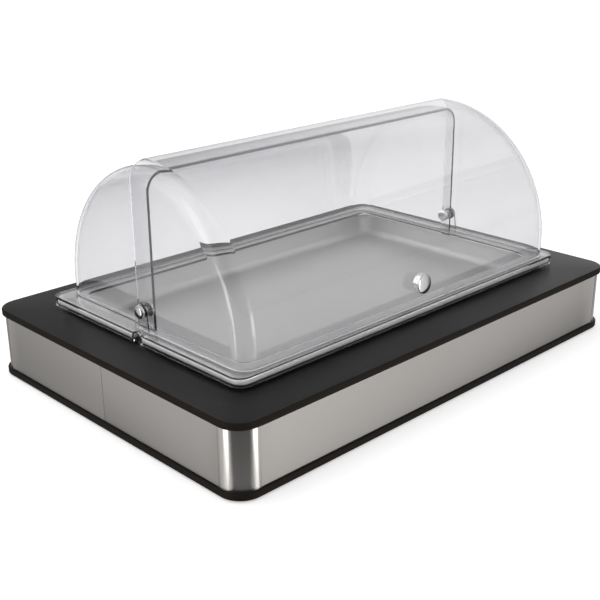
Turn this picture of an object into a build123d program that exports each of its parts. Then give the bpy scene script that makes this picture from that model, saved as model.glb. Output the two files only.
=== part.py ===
"""Buffet display case: a cooled base, a gastronorm tray and a clear roll-top cover.

Millimetres. +X runs along the long side, the knob side faces -Y and +Z is up.
The origin is the middle of the footprint, on the surface that the feet stand on.
"""
from build123d import *
from math import cos, radians, sin, tan
import os

os.makedirs("parts", exist_ok=True)

# Food tray, full gastronorm size
tray_length = 530.0
tray_depth = 325.0
tray_corner = 11.0
tray_sheet = 1.0
tray_rim_width = 13.0
tray_rim_round = 0.8
tray_lip = 5.0
tray_drop = 30.0
tray_draft = 12.0
tray_bowl_corner = 20.0
tray_floor_round = 12.0
tray_rim_lift = 11.5

# Base: two plates that stand out past the steel band between them
deck_border_x = 51.0
deck_border_y = 53.5
deck_corner = 26.0
plate_thickness = 8.0
plate_edge_round = 1.5
plate_overhang = 2.0

# Steel side band, bent from sheet and joined in the middle of the short sides
band_height = 65.0
band_bend_ease = 4.0
band_sheet = 1.2
band_return = 12.0
band_relief = 3.0
seam_gap = 0.4
seam_strip_width = 40.0
seam_strip_sheet = 1.5
seam_strip_play = 0.4

# Posts, tie screws and insert nuts that clamp the band between the plates
post_play = 1.0
middle_post_diameter = 18.0
tie_screw_diameter = 5.0
tie_head_diameter = 10.0
tie_head_height = 2.6
tie_bore_play = 0.25
tie_tip_play = 0.5
insert_diameter = 7.0
insert_depth = 6.0
thread_play = 0.05
socket_across = 3.0
socket_depth = 1.6

# Rubber feet in pockets
foot_diameter = 24.0
foot_proud = 1.5
foot_pocket_depth = 2.0
foot_pocket_play = 0.2
foot_inset_x = 56.0
foot_inset_y = 50.0
foot_edge = 0.4

# Well liner, whose collar stands on the deck and carries the tray rim
liner_wall = 2.0
liner_bowl_play = 2.0
liner_cutout_play = 0.5
liner_collar_width = 6.0
liner_draft = 3.0
liner_clear_below = 16.5
liner_floor_round = 8.0
liner_corner = 22.0

# Cooling packs on the liner floor
pack_side_play = 4.0
pack_top_play = 3.0
pack_gap = 3.0
pack_corner = 14.0
pack_edge = 5.0
plug_diameter = 22.0
plug_height = 2.0
plug_recess = 2.4
plug_play = 0.3
plug_inset = 34.0

# Clear cover frame, which stands on the tray rim
cover_wall = 3.0
skirt_play = 1.0
skirt_stand_off = 4.0
frame_edge_round = 0.8
frame_opening_inset = 6.0
notch_width = 8.0
notch_depth = 5.5
notch_play = 1.0

# Clear shells
pivot_height = 21.5
front_ledge = 7.0
end_ledge = 11.4
shell_corner = 20.0
shell_radial_gap = 7.0
shell_side_gap = 5.6
rear_setback = 5.5
front_overlap = 8.0
rear_overlap = 10.0
shell_foot_gap = 0.5
shell_turn_clearance = 1.2

# Pivots
pivot_diameter = 6.0
pivot_bore_play = 0.05
pivot_side_play = 0.1
ear_thickness = 1.9
ear_radius = 10.0
ear_stand_off = 0.6
ear_root_width = 26.0
washer_diameter = 13.0
cap_diameter = 15.0
cap_height = 4.0
cap_rim = 1.2

# Knob, low on the front shell
knob_angle = 2.5
knob_diameter = 22.0
knob_length = 10.0
knob_edge = 1.0
knob_washer_diameter = 15.0
knob_washer_thickness = 2.0
knob_screw_diameter = 4.0
knob_screw_grip = 6.0
knob_bore_play = 0.15
knob_head_diameter = 8.0
knob_head_height = 2.6
head_seat_play = 0.06

# Levels, from the feet up
bottom_top = foot_proud + plate_thickness
deck_under = bottom_top + band_height
deck_top = deck_under + plate_thickness
rim_top = deck_top + tray_rim_lift
rim_under = rim_top - tray_sheet
tray_floor_top = rim_top - tray_drop
tray_floor_under = tray_floor_top - tray_sheet
flange_top = rim_top + cover_wall
skirt_bottom = deck_top + skirt_stand_off
pivot_z = flange_top + pivot_height
liner_floor_under = bottom_top + liner_clear_below
liner_floor_top = liner_floor_under + liner_wall

# Plan sizes of the base
deck_length = tray_length + 2 * deck_border_x
deck_depth = tray_depth + 2 * deck_border_y
band_length = deck_length - 2 * plate_overhang
band_depth = deck_depth - 2 * plate_overhang
band_corner = deck_corner - plate_overhang + band_bend_ease

# Plan sizes of the tray bowl, the liner and its cut-out
bowl_length = tray_length - 2 * tray_rim_width
bowl_depth = tray_depth - 2 * tray_rim_width
liner_length = bowl_length + 2 * (liner_bowl_play + liner_wall)
liner_depth = bowl_depth + 2 * (liner_bowl_play + liner_wall)
collar_reach = liner_collar_width - liner_wall

# Plan sizes of the cover
cover_length = tray_length + 2 * (skirt_play + cover_wall)
cover_depth = tray_depth + 2 * (skirt_play + cover_wall)
cover_corner = tray_corner + skirt_play + cover_wall
front_half_length = cover_length / 2 - end_ledge
front_radius = cover_depth / 2 - front_ledge
rear_half_length = front_half_length - cover_wall - shell_side_gap
rear_radius = front_radius - cover_wall - shell_radial_gap

# Where the posts, screws and feet stand
corners = {
    "front_left": (-1, -1),
    "front_right": (1, -1),
    "rear_left": (-1, 1),
    "rear_right": (1, 1),
}
sides = {"left": -1, "right": 1}
post_diameter = 2 * (band_corner - band_return - post_play)
post_x = band_length / 2 - band_corner
post_y = band_depth / 2 - band_corner
middle_post_y = (liner_depth / 2 + band_depth / 2 - band_return) / 2
post_spots = [(sx * post_x, sy * post_y) for sx, sy in corners.values()]
middle_post_spots = [(0, -middle_post_y), (0, middle_post_y)]
tie_spots = post_spots + middle_post_spots
foot_spots = {
    name: (sx * (deck_length / 2 - foot_inset_x), sy * (deck_depth / 2 - foot_inset_y))
    for name, (sx, sy) in corners.items()
}


def bowl(length, depth, corner, top, floor, draft, floor_round):
    """Solid block with drafted walls and a rounded floor edge: the inside or outside of a drawn bowl."""
    with BuildPart() as shape:
        with BuildSketch(Plane.XY.offset(top)):
            RectangleRounded(length, depth, corner)
        extrude(amount=floor - top, taper=draft)
        fillet(faces().sort_by(Axis.Z)[0].edges(), floor_round)
    return shape.part


def hood(half_length, radius, corner, drop, setback=0.0):
    """Half-round block with rounded ends about the pivot's level, carried straight down by the drop."""
    with BuildPart() as shape:
        with BuildSketch(Plane.XY.offset(pivot_z)) as plan:
            with Locations((0, setback)):
                RectangleRounded(2 * half_length, 2 * radius, corner)
        extrude(amount=-drop)
        with BuildSketch(Plane.XY.offset(pivot_z)):
            add(plan.sketch)
            with Locations((0, setback - radius)):
                Rectangle(2 * half_length, 2 * radius, mode=Mode.SUBTRACT)
        revolve(axis=Axis((0, setback, pivot_z), (1, 0, 0)), revolution_arc=180)
    return shape.part


def save(part, name):
    """Label a finished piece and write it to its own file."""
    part.label = name
    export_step(part, f"parts/{name}.step")


# Bottom plate: pockets for the feet, countersunk holes for the tie screws
with BuildPart() as bottom_plate:
    with BuildSketch(Plane.XY.offset(foot_proud)):
        RectangleRounded(deck_length, deck_depth, deck_corner)
    extrude(amount=plate_thickness)
    fillet(faces().filter_by(Axis.Z).edges(), plate_edge_round)
    with BuildSketch(Plane.XY.offset(foot_proud)):
        with Locations(*foot_spots.values()):
            Circle(foot_diameter / 2 + foot_pocket_play)
    extrude(amount=foot_pocket_depth, mode=Mode.SUBTRACT)
    with Locations(*[(x, y, foot_proud) for x, y in tie_spots]):
        with Locations(Rotation(180, 0, 0)):
            CounterSinkHole(
                tie_screw_diameter / 2 + tie_bore_play,
                tie_head_diameter / 2 + tie_bore_play,
            )
save(bottom_plate.part, "bottom_plate")

# Rubber feet, seated at the bottom of their pockets
for name, (x, y) in foot_spots.items():
    with BuildPart() as foot:
        with BuildSketch():
            with Locations((x, y)):
                Circle(foot_diameter / 2)
        extrude(amount=foot_proud + foot_pocket_depth)
        fillet(faces().sort_by(Axis.Z)[0].edges(), foot_edge)
    save(foot.part, f"foot_{name}")

# Top plate: cut-out for the well, blind holes from below for the insert nuts
with BuildPart() as top_plate:
    with BuildSketch(Plane.XY.offset(deck_under)):
        RectangleRounded(deck_length, deck_depth, deck_corner)
    extrude(amount=plate_thickness)
    fillet(faces().filter_by(Axis.Z).edges(), plate_edge_round)
    with BuildSketch(Plane.XY.offset(deck_under)):
        RectangleRounded(
            liner_length + 2 * liner_cutout_play,
            liner_depth + 2 * liner_cutout_play,
            liner_corner + liner_cutout_play,
        )
    extrude(amount=plate_thickness, mode=Mode.SUBTRACT)
    with BuildSketch(Plane.XY.offset(deck_under)):
        with Locations(*tie_spots):
            Circle(insert_diameter / 2)
    extrude(amount=insert_depth, mode=Mode.SUBTRACT)
save(top_plate.part, "top_plate")

# Insert nuts, flush with the underside of the top plate
with BuildPart() as insert_nuts:
    with BuildSketch(Plane.XY.offset(deck_under)):
        with Locations(*tie_spots):
            Circle(insert_diameter / 2)
            Circle(tie_screw_diameter / 2 + thread_play, mode=Mode.SUBTRACT)
    extrude(amount=insert_depth)
save(insert_nuts.part, "insert_nuts")

# Tie screws: countersunk heads flush with the bottom plate, hexagon sockets
with BuildPart() as tie_screws:
    with BuildSketch(Plane.XY.offset(foot_proud)):
        with Locations(*tie_spots):
            Circle(tie_screw_diameter / 2)
    extrude(amount=deck_under + insert_depth - tie_tip_play - foot_proud)
    with Locations(*[(x, y, foot_proud + tie_head_height / 2) for x, y in tie_spots]):
        Cone(tie_head_diameter / 2, tie_screw_diameter / 2, tie_head_height)
    with BuildSketch(Plane.XY.offset(foot_proud)):
        with Locations(*tie_spots):
            RegularPolygon(socket_across / 2, 6, major_radius=False)
    extrude(amount=socket_depth, mode=Mode.SUBTRACT)
save(tie_screws.part, "tie_screws")

# Posts between the plates
posts = {f"corner_post_{name}": (spot, post_diameter) for name, spot in zip(corners, post_spots)}
posts["middle_post_front"] = (middle_post_spots[0], middle_post_diameter)
posts["middle_post_rear"] = (middle_post_spots[1], middle_post_diameter)
for name, (spot, diameter) in posts.items():
    with BuildPart() as post:
        with BuildSketch(Plane.XY.offset(bottom_top)):
            with Locations(spot):
                Circle(diameter / 2)
                Circle(tie_screw_diameter / 2 + tie_bore_play, mode=Mode.SUBTRACT)
        extrude(amount=band_height)
    save(post.part, name)

# Side band halves: sheet round two corners, with returns along the straight runs
long_return = band_length - 2 * (band_corner + band_relief)
short_return = band_depth / 2 - band_corner - band_relief
for name, way in (("front", -1), ("rear", 1)):
    with BuildPart() as band:
        with BuildSketch(Plane.XY.offset(bottom_top)):
            RectangleRounded(band_length, band_depth, band_corner)
            offset(amount=-band_sheet, mode=Mode.SUBTRACT)
        extrude(amount=band_height)
        for level in (bottom_top, deck_under - band_sheet):
            with BuildSketch(Plane.XY.offset(level)):
                with Locations((0, way * (band_depth - band_return) / 2)):
                    Rectangle(long_return, band_return)
                with Locations(
                    ((band_length - band_return) / 2, way * short_return / 2),
                    ((band_return - band_length) / 2, way * short_return / 2),
                ):
                    Rectangle(band_return, short_return)
            extrude(amount=band_sheet)
        with BuildSketch(Plane.XY.offset(bottom_top)):
            with Locations((0, way * (seam_gap - band_depth) / 2)):
                Rectangle(2 * band_length, band_depth)
        extrude(amount=band_height, mode=Mode.SUBTRACT)
    save(band.part, f"side_band_{name}")

# Backing strips behind the seams, between the returns
strip_height = band_height - 2 * (band_sheet + seam_strip_play)
strip_x = band_length / 2 - band_sheet - seam_strip_sheet / 2
for name, side in sides.items():
    with BuildPart() as strip:
        with Locations((side * strip_x, 0, bottom_top + band_height / 2)):
            Box(seam_strip_sheet, seam_strip_width, strip_height)
    save(strip.part, f"seam_strip_{name}")

# Well liner: a drawn tub and a hat-shaped collar round its mouth
with BuildPart() as well_liner:
    add(
        bowl(
            liner_length,
            liner_depth,
            liner_corner,
            rim_under,
            liner_floor_under,
            liner_draft,
            liner_floor_round,
        )
    )
    with BuildSketch(Plane.XY.offset(rim_under)) as collar:
        RectangleRounded(
            liner_length + 2 * collar_reach,
            liner_depth + 2 * collar_reach,
            liner_corner + collar_reach,
        )
    extrude(amount=-liner_wall)
    with BuildSketch(Plane.XY.offset(deck_top)):
        add(collar.sketch)
        offset(amount=-liner_wall, mode=Mode.SUBTRACT)
    extrude(amount=rim_under - deck_top)
    add(
        bowl(
            liner_length - 2 * liner_wall,
            liner_depth - 2 * liner_wall,
            liner_corner - liner_wall,
            rim_under,
            liner_floor_top,
            liner_draft,
            liner_floor_round - liner_wall,
        ),
        mode=Mode.SUBTRACT,
    )
save(well_liner.part, "well_liner")

# Cooling packs: two flat cans side by side, each with a filler plug in a recess
draft_inset = (rim_under - liner_floor_top) * tan(radians(liner_draft))
pack_inset = liner_wall + draft_inset + liner_floor_round - liner_wall + pack_side_play
pack_length = (liner_length - pack_gap) / 2 - pack_inset
pack_depth = liner_depth - 2 * pack_inset
pack_top = tray_floor_under - pack_top_play
plug_y = plug_inset - pack_depth / 2
for name, side in sides.items():
    pack_x = side * (pack_length + pack_gap) / 2
    with BuildPart() as pack:
        with BuildSketch(Plane.XY.offset(liner_floor_top)):
            with Locations((pack_x, 0)):
                RectangleRounded(pack_length, pack_depth, pack_corner)
        extrude(amount=pack_top - liner_floor_top)
        fillet(faces().filter_by(Axis.Z).edges(), pack_edge)
        with BuildSketch(Plane.XY.offset(pack_top)):
            with Locations((pack_x, plug_y)):
                Circle(plug_diameter / 2 + plug_play)
        extrude(amount=-plug_recess, mode=Mode.SUBTRACT)
    save(pack.part, f"cooling_pack_{name}")
    with BuildPart() as plug:
        with BuildSketch(Plane.XY.offset(pack_top - plug_recess)):
            with Locations((pack_x, plug_y)):
                Circle(plug_diameter / 2)
        extrude(amount=plug_height)
    save(plug.part, f"pack_plug_{name}")

# Food tray: drawn bowl, flat rim and turned-down lip, notched where the cover keys in
key_width = notch_width + 2 * (cover_wall + notch_play)
key_depth = notch_depth - skirt_play + notch_play
with BuildPart() as food_tray:
    with BuildSketch(Plane.XY.offset(rim_top - tray_lip)) as rim_plan:
        RectangleRounded(tray_length, tray_depth, tray_corner)
    extrude(amount=tray_lip)
    fillet(faces().sort_by(Axis.Z)[-1].edges(), tray_rim_round)
    with BuildSketch(Plane.XY.offset(rim_top - tray_lip)):
        offset(rim_plan.sketch, amount=-tray_sheet)
    extrude(amount=tray_lip - tray_sheet, mode=Mode.SUBTRACT)
    add(
        bowl(
            bowl_length,
            bowl_depth,
            tray_bowl_corner,
            rim_top,
            tray_floor_under,
            tray_draft,
            tray_floor_round,
        )
    )
    add(
        bowl(
            bowl_length - 2 * tray_sheet,
            bowl_depth - 2 * tray_sheet,
            tray_bowl_corner - tray_sheet,
            rim_top,
            tray_floor_top,
            tray_draft,
            tray_floor_round - tray_sheet,
        ),
        mode=Mode.SUBTRACT,
    )
    with BuildSketch(Plane.XY.offset(rim_top)):
        with Locations((tray_length / 2, 0), (-tray_length / 2, 0)):
            Rectangle(2 * key_depth, key_width)
    extrude(amount=-tray_lip, mode=Mode.SUBTRACT)
save(food_tray.part, "food_tray")

# Clear cover frame: flange on the tray rim, skirt round it, an ear and a keyed notch at each end
opening_length = 2 * (rear_half_length - cover_wall - frame_opening_inset)
opening_depth = 2 * (rear_radius - cover_wall - frame_opening_inset)
ear_inner = front_half_length + ear_stand_off
ear_outer = ear_inner + ear_thickness
end_spots = [(cover_length / 2, 0), (-cover_length / 2, 0)]
with BuildPart() as rolltop_frame:
    with BuildSketch(Plane.XY.offset(skirt_bottom)) as skirt_plan:
        RectangleRounded(cover_length, cover_depth, cover_corner)
        with Locations(*end_spots):
            Rectangle(2 * notch_depth, notch_width, mode=Mode.SUBTRACT)
    extrude(amount=flange_top - skirt_bottom)
    fillet(faces().sort_by(Axis.Z)[-1].edges(), frame_edge_round)
    with BuildSketch(Plane.XY.offset(skirt_bottom)):
        RectangleRounded(
            cover_length - 2 * cover_wall,
            cover_depth - 2 * cover_wall,
            cover_corner - cover_wall,
        )
        with Locations(*end_spots):
            Rectangle(
                2 * (notch_depth + cover_wall),
                notch_width + 2 * cover_wall,
                mode=Mode.SUBTRACT,
            )
    extrude(amount=rim_top - skirt_bottom, mode=Mode.SUBTRACT)
    with BuildSketch(Plane.XY.offset(rim_top)):
        RectangleRounded(opening_length, opening_depth, shell_corner - cover_wall)
    extrude(amount=cover_wall, mode=Mode.SUBTRACT)
    for side in sides.values():
        with BuildSketch(Plane.YZ.offset(side * (ear_inner + ear_outer) / 2)):
            with Locations((0, pivot_z)):
                Circle(ear_radius)
            with BuildLine():
                Polyline(
                    (-ear_root_width / 2, flange_top),
                    (ear_root_width / 2, flange_top),
                    (ear_radius, pivot_z),
                    (-ear_radius, pivot_z),
                    close=True,
                )
            make_face()
            with Locations((0, pivot_z)):
                Circle(pivot_diameter / 2, mode=Mode.SUBTRACT)
        extrude(amount=ear_thickness / 2, both=True)
save(rolltop_frame.part, "rolltop_frame")

# Rear shell, bonded to the flange; its arc is centred a little behind the pivots
cutter_reach = 2 * front_radius
cutter_length = 2 * cover_length
with BuildPart() as rear_shell:
    add(hood(rear_half_length, rear_radius, shell_corner, pivot_height, rear_setback))
    add(
        hood(
            rear_half_length - cover_wall,
            rear_radius - cover_wall,
            shell_corner - cover_wall,
            pivot_height,
            rear_setback,
        ),
        mode=Mode.SUBTRACT,
    )
    with Locations((0, -rear_overlap - cutter_reach / 2, pivot_z)):
        Box(cutter_length, cutter_reach, cutter_reach, mode=Mode.SUBTRACT)
    with BuildSketch(Plane.YZ):
        with Locations((0, pivot_z)):
            Circle(pivot_diameter / 2)
    extrude(amount=rear_half_length, both=True, mode=Mode.SUBTRACT)
save(rear_shell.part, "rear_shell")

# Front shell, which rolls back over the rear one; its rear lower corners clear the flange as it turns
front_drop = pivot_height - shell_foot_gap
sweep_radius = pivot_height - shell_turn_clearance
knob_plane = Plane(
    origin=(0, 0, pivot_z),
    x_dir=(1, 0, 0),
    z_dir=(0, -cos(radians(knob_angle)), sin(radians(knob_angle))),
)
front_block = hood(front_half_length, front_radius, shell_corner, front_drop)
with BuildPart() as front_shell:
    add(front_block)
    add(
        hood(
            front_half_length - cover_wall,
            front_radius - cover_wall,
            shell_corner - cover_wall,
            front_drop,
        ),
        mode=Mode.SUBTRACT,
    )
    with Locations((0, front_overlap + cutter_reach / 2, pivot_z)):
        Box(cutter_length, cutter_reach, cutter_reach, mode=Mode.SUBTRACT)
    with BuildSketch(Plane.YZ):
        with Locations((sweep_radius / 2, pivot_z - sweep_radius)):
            Rectangle(sweep_radius, 2 * sweep_radius)
        with Locations((0, pivot_z)):
            Circle(sweep_radius, mode=Mode.SUBTRACT)
    extrude(amount=front_half_length, both=True, mode=Mode.SUBTRACT)
    with BuildSketch(Plane.YZ):
        with Locations((0, pivot_z)):
            Circle(pivot_diameter / 2 + pivot_bore_play)
    extrude(amount=front_half_length, both=True, mode=Mode.SUBTRACT)
    with BuildSketch(knob_plane):
        Circle(knob_screw_diameter / 2 + knob_bore_play)
    extrude(amount=front_radius, mode=Mode.SUBTRACT)
save(front_shell.part, "front_shell")

# Pivots: pin, inner and outer caps, spacer between the shells, washer inside the ear
pin_start = rear_half_length - cover_wall
end_planes = {
    "left": Plane(origin=(0, 0, pivot_z), x_dir=(0, -1, 0), z_dir=(-1, 0, 0)),
    "right": Plane(origin=(0, 0, pivot_z), x_dir=(0, 1, 0), z_dir=(1, 0, 0)),
}
for name, end_plane in end_planes.items():
    with BuildPart() as pin:
        with BuildSketch(end_plane.offset(pin_start)):
            Circle(pivot_diameter / 2)
        extrude(amount=ear_outer - pin_start)
    save(pin.part, f"pivot_pin_{name}")
    with BuildPart() as spacer:
        with BuildSketch(end_plane.offset(rear_half_length)):
            Circle(washer_diameter / 2)
            Circle(pivot_diameter / 2, mode=Mode.SUBTRACT)
        extrude(amount=shell_side_gap - pivot_side_play)
    save(spacer.part, f"shell_spacer_{name}")
    with BuildPart() as washer:
        with BuildSketch(end_plane.offset(ear_inner)):
            Circle(washer_diameter / 2)
            Circle(pivot_diameter / 2, mode=Mode.SUBTRACT)
        extrude(amount=pivot_side_play - ear_stand_off)
    save(washer.part, f"ear_washer_{name}")
    with BuildPart() as outer_cap:
        with BuildSketch(end_plane.offset(ear_outer)):
            Circle(cap_diameter / 2)
        extrude(amount=cap_height)
        fillet(faces().sort_by(Axis(end_plane.origin, end_plane.z_dir))[-1].edges(), cap_height - cap_rim)
    save(outer_cap.part, f"pivot_cap_{name}")
    with BuildPart() as inner_cap:
        with BuildSketch(end_plane.offset(pin_start)):
            Circle(cap_diameter / 2)
        extrude(amount=-cap_height)
        fillet(faces().sort_by(Axis(end_plane.origin, end_plane.z_dir))[0].edges(), cap_height - cap_rim)
    save(inner_cap.part, f"inner_cap_{name}")

# Knob on a clear washer that fits the shell's curve, screwed on from inside
knob_seat = front_radius + knob_washer_thickness
head_seat = front_radius - cover_wall - head_seat_play
knob_axis = Axis(knob_plane.origin, knob_plane.z_dir)
with BuildPart() as knob:
    with BuildSketch(knob_plane.offset(knob_seat)):
        Circle(knob_diameter / 2)
    extrude(amount=knob_length)
    fillet(faces().sort_by(knob_axis)[-1].edges(), knob_edge)
    with BuildSketch(knob_plane.offset(knob_seat)):
        Circle(knob_screw_diameter / 2 + thread_play)
    extrude(amount=knob_screw_grip, mode=Mode.SUBTRACT)
save(knob.part, "knob")

with BuildPart() as knob_washer:
    with BuildSketch(knob_plane.offset(knob_seat)):
        Circle(knob_washer_diameter / 2)
        Circle(knob_screw_diameter / 2 + knob_bore_play, mode=Mode.SUBTRACT)
    extrude(amount=-2 * knob_washer_thickness)
    add(front_block, mode=Mode.SUBTRACT)
save(knob_washer.part, "knob_washer")

with BuildPart() as knob_screw:
    with BuildSketch(knob_plane.offset(head_seat)):
        Circle(knob_head_diameter / 2)
    extrude(amount=-knob_head_height)
    fillet(faces().sort_by(knob_axis)[0].edges(), knob_edge)
    with BuildSketch(knob_plane.offset(head_seat)):
        Circle(knob_screw_diameter / 2)
    extrude(amount=knob_seat + knob_screw_grip - head_seat)
save(knob_screw.part, "knob_screw")
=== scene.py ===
# %% [markdown]
# # A buffet display case
#
# The case has three groups of pieces. The base is a brushed steel band between two dark laminate plates.
# A drawn steel food tray hangs in the top plate. Over it stands a clear roll-top cover, whose front half
# rolls back by a chromed knob.
#
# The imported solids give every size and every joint. Here they are loaded as a fixed frame, and the pieces
# that show get finer surfaces and finishes. Lengths are written in millimetres and stored in metres.

# %% Load the frame and keep its box
import math

import bmesh
import bpy
import numpy as np
from mathutils import Matrix, Vector


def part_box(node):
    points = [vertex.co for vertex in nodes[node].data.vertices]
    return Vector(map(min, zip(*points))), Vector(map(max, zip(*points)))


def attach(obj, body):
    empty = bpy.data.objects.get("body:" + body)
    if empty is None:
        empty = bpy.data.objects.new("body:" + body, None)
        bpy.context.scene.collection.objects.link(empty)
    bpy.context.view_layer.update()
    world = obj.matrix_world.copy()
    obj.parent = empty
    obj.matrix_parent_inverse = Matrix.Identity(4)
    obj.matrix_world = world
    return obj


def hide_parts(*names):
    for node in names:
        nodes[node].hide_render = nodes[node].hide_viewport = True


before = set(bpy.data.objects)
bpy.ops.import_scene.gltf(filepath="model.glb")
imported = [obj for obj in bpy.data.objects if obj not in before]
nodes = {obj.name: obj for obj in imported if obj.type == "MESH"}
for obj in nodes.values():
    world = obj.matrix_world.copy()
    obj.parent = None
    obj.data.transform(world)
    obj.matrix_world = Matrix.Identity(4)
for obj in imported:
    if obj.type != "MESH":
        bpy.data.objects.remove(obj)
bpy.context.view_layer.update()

# %% [markdown]
# ## Sizes read from the frame
#
# A surface that copies a size by hand drifts from the solid as soon as the solid changes. So the levels and
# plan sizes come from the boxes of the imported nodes, and only roundings and sheet thicknesses are written here.

# %% Levels and plan sizes
MM = 1000.0
TINY = 1e-6
FLANGE_THICK = 3.0
DECK_CORNER = 26.0


def node_box(name):
    """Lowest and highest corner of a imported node, in millimetres."""
    low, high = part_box(name)
    return np.array(low) * MM, np.array(high) * MM


bottom_low, bottom_high = node_box("bottom_plate")
deck_low, deck_high = node_box("top_plate")
band_low, band_high = node_box("side_band_front")
tray_high = node_box("food_tray")[1]
cover_low, cover_high = node_box("rolltop_frame")
liner_high = node_box("well_liner")[1]
rear_high = node_box("rear_shell")[1]
front_low, front_high = node_box("front_shell")
cap_low, cap_high = node_box("pivot_cap_left")

deck_size = 2 * deck_high[:2]
band_size = 2 * np.array([band_high[0], -band_low[1]])
tray_size = 2 * tray_high[:2]
cover_size = 2 * cover_high[:2]
liner_size = 2 * liner_high[:2]
rim_top = tray_high[2]
flange_top = rim_top + FLANGE_THICK
pivot_z = (cap_low[2] + cap_high[2]) / 2
print("deck", deck_size, "tray", tray_size, "rim", rim_top, "pivot", round(pivot_z, 2))

# %% [markdown]
# ## One helper for every pressed, bent or moulded ring
#
# The plates, the band, the tray and the cover's frame all follow a rounded rectangle. Each could be a bevelled
# curve, but a curve can't change its corner radius between its inner and outer edge. A stack of loops can:
# each loop is a rounded rectangle with its own size, corner and height, all loops have the same number of
# points, and a skin is stretched over them. The middle of a short side can be pushed in, which makes the
# small notch where the cover keys into the tray.

# %% A loop and a skin over loops
ARC_STEPS = 14
NEAR_STOPS = np.array([0.0, 2.0, 3.5, 4.5, 5.5, 6.6, 7.4, 8.6, 11.0, 16.0, 28.0])
STRAIGHT_STOPS = np.array([0.0, 0.12, 0.3, 0.5, 0.7, 0.9])
STEP_AT = 0.6


def stops(half):
    """Places along a straight side, from minus half to plus half, with more of them near the middle and at
    the ends."""
    near = NEAR_STOPS[-1]
    right = np.concatenate([NEAR_STOPS, near + (half - near - STEP_AT) * STRAIGHT_STOPS[1:], [half - STEP_AT]])
    return np.concatenate([-right[:0:-1], right])


def loop(length, depth, corner, z, dent=0.0, dent_half=4.0):
    """A rounded rectangle, anticlockwise from the right side: straight sides at half the size, and corners
    c + r(cos a, sin a) about the corner centres c. The short sides move in by the dent where |y| is less
    than its half width."""
    hx, hy = length / 2 - corner, depth / 2 - corner
    a = np.linspace(0, math.pi / 2, ARC_STEPS)
    u, v = stops(hx), stops(hy)
    push = dent * np.clip((dent_half + 0.5 - abs(v)), 0, 1)
    x = [length / 2 - push, hx + corner * np.cos(a), -u, -hx - corner * np.sin(a)]
    y = [v, hy + corner * np.sin(a), np.full(u.size, depth / 2), hy + corner * np.cos(a)]
    x += [push - length / 2, -hx - corner * np.cos(a), u, hx + corner * np.sin(a)]
    y += [-v, -hy - corner * np.sin(a), np.full(u.size, -depth / 2), -hy - corner * np.cos(a)]
    x, y = np.concatenate(x), np.concatenate(y)
    return np.stack([x, y, np.full(x.size, z)], 1)


def grid_faces(rows, columns, close_rows=False, close_columns=True, first=0):
    """Quads between neighbouring rows and columns of a grid of points, as one index array."""
    i = np.arange(rows if close_rows else rows - 1)[:, None]
    j = np.arange(columns if close_columns else columns - 1)[None, :]
    here, there = i * columns, (i + 1) % rows * columns
    beside = (j + 1) % columns
    quads = np.stack([here + j, here + beside, there + beside, there + j], -1)
    return (quads.reshape(-1, 4) + first).tolist()


def piece(name, points, faces, sharp=35.0, bevel=0.0):
    """Put points (millimetres) and faces into a mesh object, merge doubles, turn the faces outwards and keep
    only the edges sharper than the given angle hard."""
    mesh = bpy.data.meshes.new(name)
    mesh.from_pydata((np.asarray(points).reshape(-1, 3) / MM).tolist(), [], faces)
    made = bmesh.new()
    made.from_mesh(mesh)
    bmesh.ops.remove_doubles(made, verts=made.verts, dist=2e-6)
    bmesh.ops.recalc_face_normals(made, faces=made.faces)
    made.to_mesh(mesh)
    made.free()
    mesh.polygons.foreach_set("use_smooth", np.ones(len(mesh.polygons), bool))
    mesh.set_sharp_from_angle(angle=math.radians(sharp))
    obj = bpy.data.objects.new(name, mesh)
    bpy.context.scene.collection.objects.link(obj)
    if bevel:
        edge = obj.modifiers.new("edge", "BEVEL")
        edge.width, edge.segments, edge.limit_method = bevel / MM, 3, "ANGLE"
        edge.angle_limit = math.radians(sharp)
    print(f"{name}: {len(mesh.vertices)} points, {len(mesh.polygons)} faces")
    return obj


def skin(name, loops, ring=False, floor=False, roof=False, **finish):
    """Stretch a skin over a stack of loops. A ring joins the last loop to the first; floor and roof close the
    ends."""
    grid = np.stack(loops)
    rows, columns = grid.shape[:2]
    faces = grid_faces(rows, columns, close_rows=ring)
    if floor:
        faces.append(list(range(columns - 1, -1, -1)))
    if roof:
        faces.append(list(range((rows - 1) * columns, rows * columns)))
    return piece(name, grid, faces, **finish)


def rounding(radius, start, end, steps=6):
    """Offsets (r cos a, r sin a) of an arc between two angles in degrees."""
    a = np.radians(np.linspace(start, end, steps))
    return np.stack([radius * np.cos(a), radius * np.sin(a)], 1)


print("a deck loop has", len(loop(*deck_size, DECK_CORNER, 0)), "points")

# %% [markdown]
# ## The two dark plates
#
# Both plates are laminate boards with a softened edge. A cube with a bevel would do for a plain board, but the
# top one has a cut-out with its own corners, so both are skins over loops: up the outer edge, over the
# rounding, across the top and down again.

# %% Plates
EDGE_ROUND = 1.5
COLLAR_OVERHANG, WELL_CORNER, MOUTH_PLAY = 4.0, 22.0, 0.5


def plate_loops(z_low, z_high):
    """Outer edge of a plate from its underside to its top: an arc, a straight edge and an arc."""
    low, high = rounding(EDGE_ROUND, -90, 0), rounding(EDGE_ROUND, 0, 90)
    inset = np.concatenate([EDGE_ROUND - low[:, 0], EDGE_ROUND - high[:, 0]])
    level = np.concatenate([z_low + EDGE_ROUND + low[:, 1], z_high - EDGE_ROUND + high[:, 1]])
    return [loop(*(deck_size - 2 * i), DECK_CORNER - i, z) for i, z in zip(inset, level)]


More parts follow.
